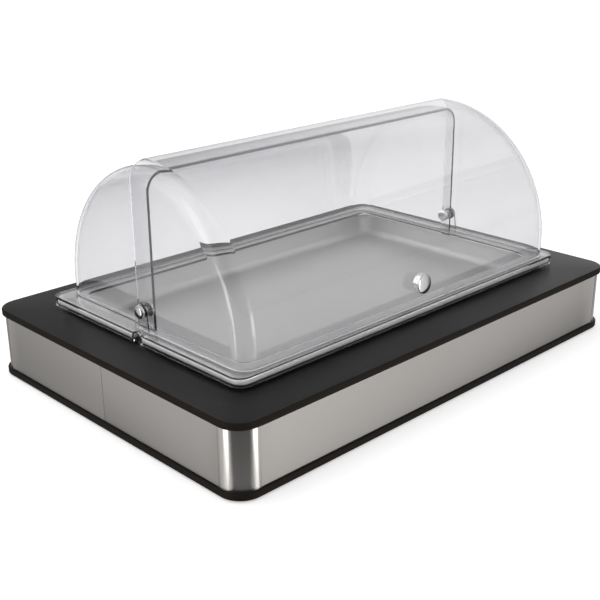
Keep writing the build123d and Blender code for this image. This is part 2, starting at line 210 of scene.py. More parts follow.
bottom_plate = skin("BottomPlate", plate_loops(bottom_low[2], bottom_high[2]), floor=True, roof=True)
opening = liner_size - 2 * COLLAR_OVERHANG + 2 * MOUTH_PLAY
mouth = [loop(*opening, WELL_CORNER + MOUTH_PLAY, z) for z in (deck_high[2], deck_low[2])]
top_plate = skin("TopPlate", plate_loops(deck_low[2], deck_high[2]) + mouth, ring=True)

# %% [markdown]
# ## The steel band
#
# The band is bent from thin sheet in two halves, which meet at a fine seam in the middle of each short side.
# On the straight runs it stops a hair short of the plates, and only the bent corners reach them, so a thin
# dark line shows along the runs. One section carried along half of the loop makes each half.

# %% Band halves
BAND_SHEET = 1.2
BAND_ROUND = 0.3
BEND = 28.0
RUN_GAP = 0.9
SEAM = 0.5


def band_half(name, way):
    """Carry the sheet's section (outer face, rounded edges, inner face) along the half of the loop on one side
    of the seams, and lift its edges by the gap along the straight runs."""
    low, high = band_low[2], band_high[2]
    arc = rounding(BAND_ROUND, 0, 90, 4)
    out = np.concatenate([BAND_ROUND - arc[::-1, 0], BAND_ROUND - arc[:, 0]])
    up = np.concatenate([low + BAND_ROUND - arc[::-1, 1], high - BAND_ROUND + arc[:, 1]])
    inset = np.concatenate([out, BAND_SHEET - out[::-1]])
    level = np.concatenate([up, up[::-1]])
    rows = np.stack([loop(*(band_size - 2 * i), BEND - i, z) for i, z in zip(inset, level)])
    ring = rows[0]
    keep = np.flatnonzero(way * ring[:, 1] >= -TINY)
    turn = np.argsort(np.unwrap(np.arctan2(-way * ring[keep, 0], way * ring[keep, 1])))
    rows = rows[:, keep[turn]]
    ends = abs(rows[:, :, 1]) < TINY
    rows[:, :, 1] = np.where(ends, way * SEAM / 2, rows[:, :, 1])
    outer = rows[len(arc)]
    bent = np.all(abs(outer[:, :2]) > band_size / 2 - BEND - 0.2, axis=1)
    lift = np.where(bent, 0.0, RUN_GAP)
    middle = (low + high) / 2
    rows[:, :, 2] += np.where(rows[:, :, 2] < middle, lift, -lift)
    count = rows.shape[1]
    faces = grid_faces(rows.shape[0], count, close_rows=True, close_columns=False)
    faces.append([i * count for i in range(rows.shape[0])])
    faces.append([i * count + count - 1 for i in range(rows.shape[0])])
    return piece(name, rows, faces)


band_front = band_half("BandFront", -1)
band_rear = band_half("BandRear", 1)

# %% [markdown]
# ## The food tray
#
# A gastronorm tray is drawn from one sheet: a flat floor, walls that lean out, a flat rim and a lip turned
# down. Its top and its underside are the same profile a sheet apart. The profile runs from the middle of the
# underside, out under the rim and round the lip, and back over the top to the floor.

# %% Tray
TRAY_CORNER, BOWL_CORNER = 11.0, 20.0
RIM_WIDTH, LIP, DROP, DRAFT, SHEET = 13.0, 5.0, 30.0, 12.0, 1.0
MOUTH_ROUND, RIM_ROUND, FLOOR_ROUND = 3.0, 4.4, 11.0
KEY_DEPTH, KEY_HALF = 5.5, 8.0


def bowl_section(inset, top, floor, mouth, bend):
    """A drawn wall from the rim to the floor: an arc over the mouth, a straight wall that leans by the draft,
    and an arc into the floor. Each arc's centre is its radius away from both of the lines that it joins."""
    lean = math.radians(DRAFT)
    high_z = top - mouth
    high_in = inset + (top - high_z) * math.tan(lean) - mouth / math.cos(lean)
    over = rounding(mouth, 90, DRAFT)
    low_z = floor + bend
    low_in = inset + (top - low_z) * math.tan(lean) + bend / math.cos(lean)
    under = rounding(bend, DRAFT - 180, -90, 8)
    return np.concatenate([over + [high_in, high_z], under + [low_in, low_z]])


def tray_loops():
    """Loops of the whole sheet, from the middle of the underside round the lip to the middle of the top."""
    upper = bowl_section(RIM_WIDTH, rim_top, rim_top - DROP, MOUTH_ROUND, FLOOR_ROUND)
    lower = bowl_section(
        RIM_WIDTH - SHEET, rim_top - SHEET, rim_top - DROP - SHEET, MOUTH_ROUND + SHEET, FLOOR_ROUND + SHEET
    )[::-1]
    edge = rounding(RIM_ROUND, 0, 90, 10)
    inside = rounding(RIM_ROUND - SHEET, 90, 0, 8)
    under = np.stack([RIM_ROUND - inside[:, 0], rim_top - RIM_ROUND + inside[:, 1]], 1)
    lip_in = np.concatenate([under, [[SHEET, rim_top - LIP], [0.0, rim_top - LIP]]])
    over = np.stack([RIM_ROUND - edge[:, 0], rim_top - RIM_ROUND + edge[:, 1]], 1)
    loops = []
    for inset, z in lower:
        loops.append(loop(*(tray_size - 2 * inset), BOWL_CORNER + RIM_WIDTH - inset, z))
    for inset, z in np.concatenate([lip_in, over]):
        loops.append(loop(*(tray_size - 2 * inset), TRAY_CORNER - inset, z, KEY_DEPTH, KEY_HALF))
    for inset, z in upper:
        loops.append(loop(*(tray_size - 2 * inset), BOWL_CORNER + RIM_WIDTH - inset, z))
    return loops


tray = skin("FoodTray", tray_loops(), floor=True, roof=True)

# %% [markdown]
# ## The clear frame that stands on the tray
#
# The frame is moulded: a flange on the rim, a skirt outside the lip, a finger-wide notch in the middle of each
# short side, and an ear above each notch for the pivot. The flange and skirt are one ring of loops. Each ear
# is a flat shape with straight flanks and a round top, carried through its thickness.

# %% Flange and skirt
COVER_WALL = 3.0
COVER_CORNER = 15.0
NOTCH_DEPTH, NOTCH_HALF = 5.5, 4.0
SKIRT_ROUND, FOOT_ROUND = 1.2, 0.6
INNER_LEDGE, HOLE_CORNER = 6, 17
SEAT_GAP = 0.12
shell_end = front_high[0]
rear_end = rear_high[0]
REAR_SETBACK = 5.5
rear_radius = rear_high[1] - REAR_SETBACK
front_radius = -front_low[1]


def frame_loops():
    """Up the skirt, over a rounded edge, in across the flange, down its opening, out under it and down inside."""
    foot = rounding(FOOT_ROUND, -90, 0, 4)
    edge = rounding(SKIRT_ROUND, 0, 90)
    outside = [(FOOT_ROUND - c, cover_low[2] + FOOT_ROUND + s) for c, s in foot]
    outside += [(SKIRT_ROUND - c, flange_top - SKIRT_ROUND + s) for c, s in edge]
    outer = [loop(*(cover_size - 2 * i), COVER_CORNER - i, z, NOTCH_DEPTH, NOTCH_HALF) for i, z in outside]
    hole = 2 * np.array([rear_end - COVER_WALL - INNER_LEDGE, rear_radius - COVER_WALL - INNER_LEDGE])
    under = rim_top + SEAT_GAP
    inner = [loop(*hole, HOLE_CORNER, z) for z in (flange_top, under)]
    inside, corner, notch = cover_size - 2 * COVER_WALL, COVER_CORNER - COVER_WALL, NOTCH_HALF + COVER_WALL
    back = [loop(*inside, corner, z, NOTCH_DEPTH, notch) for z in (under, cover_low[2])]
    return outer + inner + back


cover_frame = skin("CoverFrame", frame_loops(), ring=True)

# %% Ears
EAR_RADIUS, EAR_ROOT, EAR_GAP, EAR_THICK = 10.0, 26.0, 0.6, 1.9


def ear(name, side):
    """Straight flanks from the root to the pivot's level, then a half circle, carried through the thickness."""
    a = np.radians(np.linspace(0, 180, 33))
    y = np.concatenate([[EAR_ROOT / 2], EAR_RADIUS * np.cos(a), [-EAR_ROOT / 2]])
    z = np.concatenate([[flange_top], pivot_z + EAR_RADIUS * np.sin(a), [flange_top]])
    inner, outer = shell_end + EAR_GAP, shell_end + EAR_GAP + EAR_THICK
    slabs = [np.stack([np.full(y.size, side * x), y, z], 1) for x in (inner, outer)]
    return skin(name, slabs, floor=True, roof=True, bevel=0.5)


ears = [ear("EarLeft", -1), ear("EarRight", 1)]

# %% [markdown]
# ## The clear shells
#
# Each shell is a half of a rounded drum: a rounded-ended profile turned about the pivot's axis, then carried
# straight down to the flange. A torus or a cut cylinder can't give flat ends with a soft edge. Here a point of
# the profile (x, r) turns by an angle from level to the cut plane, which lies a little past the top, and the
# flat end walls close the shape. The inside is the same surface a wall thinner, and a strip joins the two.

# %% Shells
SHELL_CORNER = 20.0
FRONT_OVERLAP, REAR_OVERLAP = 8.0, 10.0
FRONT_SWEEP = 20.3


def drum(half, radius, corner, low, past, turns=96):
    """Points (x, y, z) of half a rounded drum. The profile (x, r) goes round both ends; below the axis it drops
    straight, and above it y = -r cos(a), z = r sin(a), with a running to where y meets the cut plane."""
    a = np.linspace(0, math.pi / 2, 25)
    x = np.concatenate([-half + corner - corner * np.cos(a), half - corner + corner * np.sin(a)])
    r = np.concatenate([radius - corner + corner * np.sin(a), radius - corner + corner * np.cos(a)])
    down = np.linspace(low, 0, 4)[:-1]
    share = np.linspace(0, 1, turns)[:, None]
    turn = share * (math.pi / 2 + np.arcsin(past / r))[None, :]
    y = np.concatenate([np.tile(-r, (down.size, 1)), -r * np.cos(turn)])
    z = np.concatenate([np.tile(down[:, None], (1, r.size)), r * np.sin(turn)])
    return np.stack([np.tile(x, (y.shape[0], 1)), y, z + pivot_z], -1)


def end_edge(half, low, past, sweep, side):
    """The free edge of an end wall from its foot to just under its top: up the sweep arc and then along the
    cut, or straight up the cut where nothing has to be swept clear."""
    a = np.linspace(0, math.asin(min(past / sweep, 1.0)), 7) if sweep else np.zeros(0)
    y, z = np.append([0.0], sweep * np.sin(a)), np.append([low], -sweep * np.cos(a))
    if not sweep:
        y[0] = past
    return np.stack([np.full(y.size, side * half), y, z + pivot_z], 1)


def shell(name, half, radius, low, past, sweep=0.0, back=0.0):
    """Outer and inner drum, four flat end walls and one strip round the free edge. A shell with a setback is
    turned to the rear and moved back by it."""
    points, faces, borders = [], [], []
    count = 0
    for wall in (0.0, COVER_WALL):
        grid = drum(half - wall, radius - wall, SHELL_CORNER - wall, low, past)
        rows, columns = grid.shape[:2]
        edges = [end_edge(half - wall, low, past, sweep, side) for side in (1, -1)]
        faces += grid_faces(rows, columns, close_columns=False, first=count)
        index = count + np.arange(rows * columns).reshape(rows, columns)
        size = edges[0].shape[0]
        right = count + rows * columns + np.arange(size)
        left = right + size
        faces.append(index[:, -1].tolist() + right[::-1].tolist())
        faces.append(index[::-1, 0].tolist() + left.tolist())
        borders.append(np.concatenate([index[0], right, index[-1, ::-1], left[::-1]]))
        points += [grid.reshape(-1, 3), *edges]
        count += rows * columns + 2 * size
    outer, inner = borders
    strip = np.stack([outer, np.roll(outer, -1), np.roll(inner, -1), inner], 1)
    points = np.concatenate(points)
    if back:
        points = points * [1, -1, 1] + [0, back, 0]
    return piece(name, points, faces + strip.tolist(), sharp=30.0)


front_foot, rear_foot = front_low[2] - pivot_z, flange_top - pivot_z
rear_past = REAR_OVERLAP + REAR_SETBACK
front_shell = shell("FrontShell", shell_end, front_radius, front_foot, FRONT_OVERLAP, sweep=FRONT_SWEEP)
rear_shell = shell("RearShell", rear_end, rear_radius, rear_foot, rear_past, back=REAR_SETBACK)

# %% [markdown]
# ## Turned metal and clear washers
#
# The knob, the pivot caps and the washers are turned parts. The Spin tool would need each profile as a mesh
# first; a grid does it in one step: the distance from the axis and the height run along the profile, and the
# angle runs round. Points that meet on the axis are merged, which closes the poles.

# %% Turned pieces
KNOB_TILT = math.radians(2.5)
CROWN = math.radians(13.0)
KNOB_RADIUS, KNOB_LENGTH, KNOB_EDGE, KNOB_FOOT = 11.0, 10.0, 0.9, 0.5
WASHER_BORE, WASHER_RADIUS, WASHER_THICK, WASHER_SEAT = 2.3, 7.5, 2.0, 0.9
CAP_RADIUS, CAP_RIM, CAP_SHOULDER, CAP_HEIGHT, CAP_PLAY = 7.5, 1.2, 2.8, 4.0, 0.15


def turned(name, origin, axis, profile, steps=64, **finish):
    """Carry (distance, height) pairs round an axis: point = origin + h axis + d (cos b u + sin b v)."""
    axis = np.array(axis, float)
    u = np.cross(axis, [0.3, 0.5, 0.8])
    u /= np.linalg.norm(u)
    v = np.cross(axis, u)
    b = np.linspace(0, 2 * math.pi, steps, endpoint=False)[None, :, None]
    d, h = np.array(profile, float).T[:, :, None, None]
    points = np.array(origin) + h * axis + d * (np.cos(b) * u + np.sin(b) * v)
    closed = profile[0][0] > TINY
    return piece(name, points, grid_faces(points.shape[0], steps, close_rows=closed), **finish)


def knob_profile(radius, length, edge):
    """From the middle of the seat, out and up the side, over the edge and along a low dome to its middle. The
    dome's sphere meets the edge's arc where both lean by the crown's angle."""
    foot = rounding(KNOB_FOOT, -90, 0, 4)
    base = [(radius - KNOB_FOOT + c, KNOB_FOOT + s) for c, s in foot]
    sphere = (radius - edge + edge * math.sin(CROWN)) / math.sin(CROWN)
    lean = np.linspace(CROWN, 0, 10)
    dome = [(sphere * math.sin(t), length - sphere + sphere * math.cos(t)) for t in lean]
    shoulder = dome[0][1] - edge * math.cos(CROWN)
    arc = rounding(edge, 0, 90 - math.degrees(CROWN), 7)[:-1]
    return [(0.0, 0.0), *base, *[(radius - edge + c, shoulder + s) for c, s in arc], *dome]


outwards = np.array([0.0, -math.cos(KNOB_TILT), math.sin(KNOB_TILT)])
axis_point = np.array([0.0, 0.0, pivot_z])
knob_seat = axis_point + outwards * (front_radius + WASHER_THICK)
knob = turned("Knob", knob_seat, outwards, knob_profile(KNOB_RADIUS, KNOB_LENGTH, KNOB_EDGE))
washer = [(WASHER_BORE, -WASHER_SEAT), (WASHER_RADIUS, -WASHER_SEAT)]
washer += [(WASHER_RADIUS, WASHER_THICK), (WASHER_BORE, WASHER_THICK)]
knob_washer = turned("KnobWasher", axis_point + outwards * front_radius, outwards, washer, bevel=0.3)


def cap(name, x, way):
    """A domed cap: a short rim, a rounded shoulder and a low crown."""
    shoulder = [(CAP_RADIUS - CAP_SHOULDER + c, CAP_RIM + s) for c, s in rounding(CAP_SHOULDER, 5, 78, 8)]
    profile = [(0.0, 0.0), (CAP_RADIUS, 0.0), (CAP_RADIUS, CAP_RIM), *shoulder, (0.0, CAP_HEIGHT)]
    return turned(name, [x, 0.0, pivot_z], [way, 0, 0], profile)


ear_face = shell_end + EAR_GAP + EAR_THICK
caps = [cap("PivotCapLeft", -ear_face, -1), cap("PivotCapRight", ear_face, 1)]
inside_face = rear_end - COVER_WALL - CAP_PLAY
caps += [cap("InnerCapLeft", -inside_face, 1), cap("InnerCapRight", inside_face, -1)]

# %% [markdown]
# ## Which body each piece rides on
#
# A piece moves with the body of the solid that it stands for. The hidden solids stay in the frame for
# collision.

# %% Bodies and stand-ins
RIDES = [
    (bottom_plate, "base", ["bottom_plate"], "dark_plate"),
    (top_plate, "base", ["top_plate"], "dark_plate"),
    (band_front, "base", ["side_band_front"], "band_steel"),
    (band_rear, "base", ["side_band_rear"], "band_steel"),
    (tray, "tray", ["food_tray"], "tray_steel"),
    (cover_frame, "rolltop", ["rolltop_frame"], "clear_cover"),
    (ears[0], "rolltop", [], "clear_cover"),
    (ears[1], "rolltop", [], "clear_cover"),
    (rear_shell, "rolltop", ["rear_shell"], "clear_cover"),
    (front_shell, "rolling_front", ["front_shell"], "clear_cover"),
    (knob, "rolling_front", ["knob"], "chrome"),
    (knob_washer, "rolling_front", ["knob_washer"], "clear_cover"),
    (caps[0], "rolltop", ["pivot_cap_left"], "chrome"),
    (caps[1], "rolltop", ["pivot_cap_right"], "chrome"),
    (caps[2], "rolltop", ["inner_cap_left"], "chrome"),
    (caps[3], "rolltop", ["inner_cap_right"], "chrome"),
]
for made, body, stands_for, slot in RIDES:
    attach(made, body)
    if stands_for:
        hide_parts(*stands_for)

# %% [markdown]
# ## Finishes
#
# Every finish is a few nodes over the Principled shader, read from Object coordinates so that a pattern stays
# put when a piece moves. Two effects come back in several finishes: fine parallel brush lines, and soft
# cloudy unevenness. Each is a node group that puts out a mask, and the shader's plain values stay on its own
# sockets.

# %% Node helpers
def new_material(name):
    """An empty material with its output and one Principled shader."""
    material = bpy.data.materials.new(name)
    material.use_nodes = True
    tree = material.node_tree
    tree.nodes.clear()
    out = tree.nodes.new("ShaderNodeOutputMaterial")
    shader = tree.nodes.new("ShaderNodeBsdfPrincipled")
    tree.links.new(shader.outputs[0], out.inputs["Surface"])
    return material, tree, shader


def math_node(tree, operation, first, second=None, third=None):
    """A Math node whose inputs are sockets or plain numbers."""
    node = tree.nodes.new("ShaderNodeMath")
    node.operation = operation
    for place, value in enumerate((first, second, third)):
        if isinstance(value, bpy.types.NodeSocket):
            tree.links.new(value, node.inputs[place])
        elif value is not None:
            node.inputs[place].default_value = value
    return node.outputs[0]


def ranged(tree, value, low, high, start=0.0, end=1.0):
    """A Map Range node from start..end to low..high."""
    node = tree.nodes.new("ShaderNodeMapRange")
    tree.links.new(value, node.inputs["Value"])
    for name, number in zip(("From Min", "From Max", "To Min", "To Max"), (start, end, low, high)):
        node.inputs[name].default_value = number
    return node.outputs["Result"]


def tinted(tree, mask, dark, light):
    """A Mix node between two colours by a mask."""
    node = tree.nodes.new("ShaderNodeMix")
    node.data_type = "RGBA"
    node.inputs["A"].default_value = (*dark, 1)
    node.inputs["B"].default_value = (*light, 1)
    tree.links.new(mask, node.inputs["Factor"])
    return node.outputs["Result"]


def blended(tree, first, share, second):
    """A share of one mask and the rest of another."""
    rest = math_node(tree, "MULTIPLY", second, 1.0 - share)
    return math_node(tree, "MULTIPLY_ADD", first, share, rest)


def bumped(tree, shader, height, strength, distance):
    """A Bump node from a height to the shader's normal."""
    node = tree.nodes.new("ShaderNodeBump")
    node.inputs["Strength"].default_value = strength
    node.inputs["Distance"].default_value = distance
    tree.links.new(height, node.inputs["Height"])
    tree.links.new(node.outputs[0], shader.inputs["Normal"])


print("helpers ready")

# %% Brush lines and clouds, as groups
def group_with(name, inputs, outputs):
    """A shader node group with float sockets, and its input and output nodes."""
    group = bpy.data.node_groups.new(name, "ShaderNodeTree")
    for label, value in inputs:
        socket = group.interface.new_socket(label, in_out="INPUT", socket_type="NodeSocketFloat")
        socket.default_value = value
    for label in outputs:
        group.interface.new_socket(label, in_out="OUTPUT", socket_type="NodeSocketFloat")
    return group, group.nodes.new("NodeGroupInput"), group.nodes.new("NodeGroupOutput")


def noise(tree, vector, scale, detail=3.0, rough=0.55):
    """A Noise Texture on a vector socket."""
    node = tree.nodes.new("ShaderNodeTexNoise")
    node.inputs["Scale"].default_value = scale
    node.inputs["Detail"].default_value = detail
    node.inputs["Roughness"].default_value = rough
    tree.links.new(vector, node.inputs["Vector"])
    return node.outputs["Fac"]


def stretched(tree, along, across):
    """Object coordinates with x and y scaled by one socket or number and z by another."""
    coordinates = tree.nodes.new("ShaderNodeTexCoord").outputs["Object"]
    parts = tree.nodes.new("ShaderNodeSeparateXYZ")
    tree.links.new(coordinates, parts.inputs[0])
    joined = tree.nodes.new("ShaderNodeCombineXYZ")
    for axis, factor in zip("XYZ", (along, along, across)):
        tree.links.new(math_node(tree, "MULTIPLY", parts.outputs[axis], factor), joined.inputs[axis])
    return joined.outputs[0]


brush, brush_in, brush_out = group_with("Brush lines", [("Along", 4.0), ("Across", 900.0)], ["Lines", "Height"])
brush_vector = stretched(brush, brush_in.outputs["Along"], brush_in.outputs["Across"])
brush_fine = noise(brush, brush_vector, 1.0, 4.0, 0.7)
brush.links.new(ranged(brush, brush_fine, 0.0, 1.0, 0.32, 0.68), brush_out.inputs["Lines"])
brush.links.new(brush_fine, brush_out.inputs["Height"])

clouds, clouds_in, clouds_out = group_with("Soft clouds", [("Scale", 9.0)], ["Mask"])
clouds_vector = stretched(clouds, clouds_in.outputs["Scale"], clouds_in.outputs["Scale"])
clouds_soft = noise(clouds, clouds_vector, 1.0, 2.0)
clouds.links.new(ranged(clouds, clouds_soft, 0.0, 1.0, 0.3, 0.7), clouds_out.inputs["Mask"])


def use_group(tree, group, **values):
    """Place a group in a material with its own values."""
    node = tree.nodes.new("ShaderNodeGroup")
    node.node_tree = group
    for name, value in values.items():
        node.inputs[name].default_value = value
    return node


print("groups:", [g.name for g in (brush, clouds)])

# %% [markdown]
# ### Steel
#
# The band is brushed along its length, so its reflections smear up and down. Short brush lines come from
# noise that is stretched along x and y and squeezed along z. The tray is a satin drawn sheet: it has the
# same base, but clouds instead of lines.

# %% Brushed band steel
band_steel, tree, shader = new_material("Brushed band steel")
lines = use_group(tree, brush, Along=7.0, Across=1400.0)
patches = use_group(tree, clouds, Scale=6.0)
shade = blended(tree, lines.outputs["Lines"], 0.6, patches.outputs[0])
tree.links.new(tinted(tree, shade, (0.555, 0.53, 0.505), (0.59, 0.565, 0.54)), shader.inputs["Base Color"])
tree.links.new(ranged(tree, lines.outputs["Lines"], 0.22, 0.26), shader.inputs["Roughness"])
shader.inputs["Metallic"].default_value = 1.0
shader.inputs["Anisotropic"].default_value = 1.0
shader.inputs["Anisotropic Rotation"].default_value = 0.25
bumped(tree, shader, lines.outputs["Height"], 0.012, 0.0002)

# %% Satin tray steel
tray_steel, tree, shader = new_material("Satin tray steel")
patches = use_group(tree, clouds, Scale=5.0)
grain = use_group(tree, brush, Along=60.0, Across=260.0)
shade = blended(tree, patches.outputs[0], 0.7, grain.outputs["Lines"])
tree.links.new(tinted(tree, shade, (0.70, 0.70, 0.70), (0.75, 0.75, 0.75)), shader.inputs["Base Color"])
tree.links.new(ranged(tree, patches.outputs[0], 0.56, 0.62), shader.inputs["Roughness"])
shader.inputs["Metallic"].default_value = 1.0
bumped(tree, shader, grain.outputs["Height"], 0.04, 0.0003)

# %% Plated steel of the hidden fasteners and posts, and chrome
def cloudy_metal(name, scale, dark, light, smooth, rough):
    """Plain metal with clouds in its colour and its roughness."""
    material, tree, shader = new_material(name)
    patches = use_group(tree, clouds, Scale=scale)
    tree.links.new(tinted(tree, patches.outputs[0], dark, light), shader.inputs["Base Color"])
    tree.links.new(ranged(tree, patches.outputs[0], smooth, rough), shader.inputs["Roughness"])
    shader.inputs["Metallic"].default_value = 1.0
    return material


plated = cloudy_metal("Plated steel", 60.0, (0.42, 0.42, 0.43), (0.58, 0.58, 0.58), 0.3, 0.45)
chrome = cloudy_metal("Polished chrome", 90.0, (0.66, 0.66, 0.665), (0.72, 0.72, 0.72), 0.05, 0.09)
print("metal finishes:", [m.name for m in (band_steel, tray_steel, plated, chrome)])

# %% [markdown]
# ### Dark laminate
#
# The plates are dark laminate with a faintly grained face and a duller, browner cut edge. The two are
# separate finishes, because the edge has less gloss all over. Fine noise roughens the face, which is a little
# lighter in clouds; the edge shows the layers of the board as faint lines.

# %% Plate finishes
face_laminate, tree, shader = new_material("Laminate face")
coordinates = tree.nodes.new("ShaderNodeTexCoord").outputs["Object"]
patches = use_group(tree, clouds, Scale=14.0)
grain = noise(tree, coordinates, 900.0, 2.0)
fleck = blended(tree, grain, 0.5, patches.outputs[0])
tree.links.new(tinted(tree, fleck, (0.009, 0.009, 0.0095), (0.013, 0.013, 0.0135)), shader.inputs["Base Color"])
tree.links.new(ranged(tree, grain, 0.33, 0.41), shader.inputs["Roughness"])
shader.inputs["Specular IOR Level"].default_value = 0.14
bumped(tree, shader, grain, 0.1, 0.0004)

edge_laminate, tree, shader = new_material("Laminate edge")
layers = use_group(tree, brush, Along=12.0, Across=700.0).outputs["Lines"]
tree.links.new(tinted(tree, layers, (0.010, 0.008, 0.006), (0.018, 0.014, 0.011)), shader.inputs["Base Color"])
tree.links.new(ranged(tree, layers, 0.5, 0.6), shader.inputs["Roughness"])
shader.inputs["Specular IOR Level"].default_value = 0.08
print("plates:", face_laminate.name, "and", edge_laminate.name)

# %% [markdown]
# ### Clear plastic
#
# The shells are clear, with real walls, so plain transmission bends the light at both faces. Light that falls
# through clear plastic reaches the tray almost unchanged. A path tracer treats a refracting wall as solid when
# it tests for shade, so the material is nearly transparent to shadow rays, through its alpha. The walls have a
# faint grey, and painted shade darkens it where they turn edge-on, more so in the last degrees, to draw dark
# edge lines. Both are kept for what is seen through them, and left out for light that has already met the steel.

# %% Clear finish
# Shares of the painted edge-on shade in the colour mask, and the share of haze.
PAINTED_GLANCING_SHARE, PAINTED_EDGE_ON_SHARE, HAZE = 0.575, 0.425, 0.035


def clear(name, colour, painted_edge_colour, shade_kept):
    """Refracting plastic with painted shade that darkens it where it is seen edge-on; shadow rays keep a small
    share of its shade.
    """
    material, tree, shader = new_material(name)
    patches = use_group(tree, clouds, Scale=12.0)
    weight = tree.nodes.new("ShaderNodeLayerWeight")
    weight.inputs["Blend"].default_value = 0.5
    # Painted shade: the colour darkens towards the second colour as the wall turns edge-on, to draw dark edge
    # lines.
    painted_glancing_shade = ranged(tree, weight.outputs["Facing"], 0.0, PAINTED_GLANCING_SHARE, 0.2, 1.0)
    painted_edge_on_shade = ranged(tree, weight.outputs["Facing"], 0.0, PAINTED_EDGE_ON_SHARE, 0.8, 0.95)
    haze_and_painted_shade = math_node(tree, "MULTIPLY_ADD", patches.outputs[0], HAZE, math_node(tree, "ADD", painted_glancing_shade, painted_edge_on_shade))
    path = tree.nodes.new("ShaderNodeLightPath")
    leaving = math_node(tree, "GREATER_THAN", path.outputs["Glossy Depth"], 0.5)
    shade = tree.nodes.new("ShaderNodeMix")
    shade.data_type = "RGBA"
    tree.links.new(leaving, shade.inputs["Factor"])
    tree.links.new(tinted(tree, haze_and_painted_shade, colour, painted_edge_colour), shade.inputs["A"])
    shade.inputs["B"].default_value = (0.97, 0.97, 0.97, 1)
    tree.links.new(shade.outputs["Result"], shader.inputs["Base Color"])
    tree.links.new(ranged(tree, patches.outputs[0], 0.0, 0.015), shader.inputs["Roughness"])
    shader.inputs["Transmission Weight"].default_value = 1.0
    shader.inputs["IOR"].default_value = 1.49
    solid = math_node(tree, "MULTIPLY_ADD", path.outputs["Is Shadow Ray"], shade_kept - 1.0, 1.0)
    tree.links.new(solid, shader.inputs["Alpha"])
    return material


# The second colour of each finish is the painted edge-on shade.
clear_cover = clear("Clear cover", (0.862, 0.862, 0.868), (0.25, 0.25, 0.33), 0.12)
clear_frame = clear("Clear frame", (0.975, 0.975, 0.98), (0.76, 0.76, 0.8), 0.1)
clear_washer = clear("Clear washer", (0.93, 0.93, 0.94), (0.7, 0.7, 0.73), 0.2)
print("clear:", clear_cover.name, clear_frame.name, clear_washer.name)

# %% [markdown]
# ### Moulded plastics and rubber
#
# The liner, the cooling packs and the feet are moulded. Each has its own colour, with a fine texture in the
# bump and roughness so that it doesn't look like plain paint.

# %% Moulded finishes
def moulded(name, dark, light, rough, grain_scale, bump):
    """Clouded colour, and grain in the roughness and the bump."""
    material, tree, shader = new_material(name)
    coordinates = tree.nodes.new("ShaderNodeTexCoord").outputs["Object"]
    patches = use_group(tree, clouds, Scale=20.0)
    grain = noise(tree, coordinates, grain_scale, 2.0)
    tree.links.new(tinted(tree, patches.outputs[0], dark, light), shader.inputs["Base Color"])
    tree.links.new(ranged(tree, grain, rough - 0.08, rough + 0.08), shader.inputs["Roughness"])
    bumped(tree, shader, grain, bump, 0.0003)
    return material


liner_black = moulded("Liner black", (0.008, 0.008, 0.008), (0.014, 0.014, 0.014), 0.45, 500.0, 0.15)
pack_blue = moulded("Cooling pack", (0.42, 0.55, 0.66), (0.52, 0.64, 0.74), 0.3, 300.0, 0.1)
plug_white = moulded("Pack plug", (0.72, 0.74, 0.76), (0.8, 0.82, 0.83), 0.4, 400.0, 0.1)
foot_rubber = moulded("Foot rubber", (0.02, 0.02, 0.02), (0.035, 0.035, 0.034), 0.75, 900.0, 0.3)

# %% Assign the finishes
PIECE_FINISH = {
    bottom_plate: face_laminate, top_plate: face_laminate, band_front: band_steel, band_rear: band_steel,
    tray: tray_steel, cover_frame: clear_frame, ears[0]: clear_frame, ears[1]: clear_frame,
    rear_shell: clear_cover, front_shell: clear_cover, knob: chrome, knob_washer: clear_washer,
    **{c: chrome for c in caps},
}
for made, finish in PIECE_FINISH.items():
    made.data.materials.clear()
    made.data.materials.append(finish)
for plate in (bottom_plate, top_plate):
    plate.data.materials.append(edge_laminate)
    normals = np.empty(3 * len(plate.data.polygons), np.float32)
    plate.data.polygons.foreach_get("normal", normals)
    plate.data.polygons.foreach_set("material_index", (abs(normals[2::3]) < 0.9).astype(np.int32))
NODE_FINISH = {
    "well_liner": liner_black, "cooling_pack": pack_blue, "pack_plug": plug_white, "foot": foot_rubber,
    "shell_spacer": clear_washer, "ear_washer": clear_washer, "pivot_pin": chrome,
    "seam_strip": plated, "corner_post": plated, "middle_post": plated, "tie_screws": plated,
    "insert_nuts": plated, "knob_screw": plated,
}
for name, solid in nodes.items():
    for start, finish in NODE_FINISH.items():
        if name.startswith(start):
            solid.data.materials.clear()
            solid.data.materials.append(finish)
print("finished nodes:", sum(any(n.startswith(s) for s in NODE_FINISH) for n in nodes))

# %% [markdown]
# ## Floor, studio and camera
#
# The case stands on a plain pale floor in a white studio. The camera sees floor and world at full white, and
# the floor still takes the case's shadow. Reflections don't show that white. The floor is hidden from them, and
# the world gives them a grey studio instead, with a darker side behind the camera and a bright panel on either
# side of it, which draws the bands on the bent corners and on the shells' rounded ends. The steel under the
# clear cover is lit more softly, from above and from two sides.

# %% Floor
FLOOR_REACH, FLOOR_GLOW = 30, 0.45
floor_mesh = bpy.data.meshes.new("Floor")
corners = [(FLOOR_REACH * x, FLOOR_REACH * y, 0) for x, y in ((-1, -1), (1, -1), (1, 1), (-1, 1))]
floor_mesh.from_pydata(corners, [], [(0, 1, 2, 3)])
floor = bpy.data.objects.new("Floor", floor_mesh)
bpy.context.scene.collection.objects.link(floor)
floor.visible_glossy = False
floor_paint, tree, shader = new_material("Pale floor")
shader.inputs["Base Color"].default_value = (0.8, 0.8, 0.8, 1)
shader.inputs["Roughness"].default_value = 0.9
shader.inputs["Specular IOR Level"].default_value = 0.0
path = tree.nodes.new("ShaderNodeLightPath")
seen = math_node(tree, "MAXIMUM", path.outputs["Is Camera Ray"], path.outputs["Is Transmission Ray"])
shader.inputs["Emission Color"].default_value = (1, 1, 1, 1)
tree.links.new(math_node(tree, "MULTIPLY", seen, FLOOR_GLOW), shader.inputs["Emission Strength"])
floor_mesh.materials.append(floor_paint)
print("floor ready")

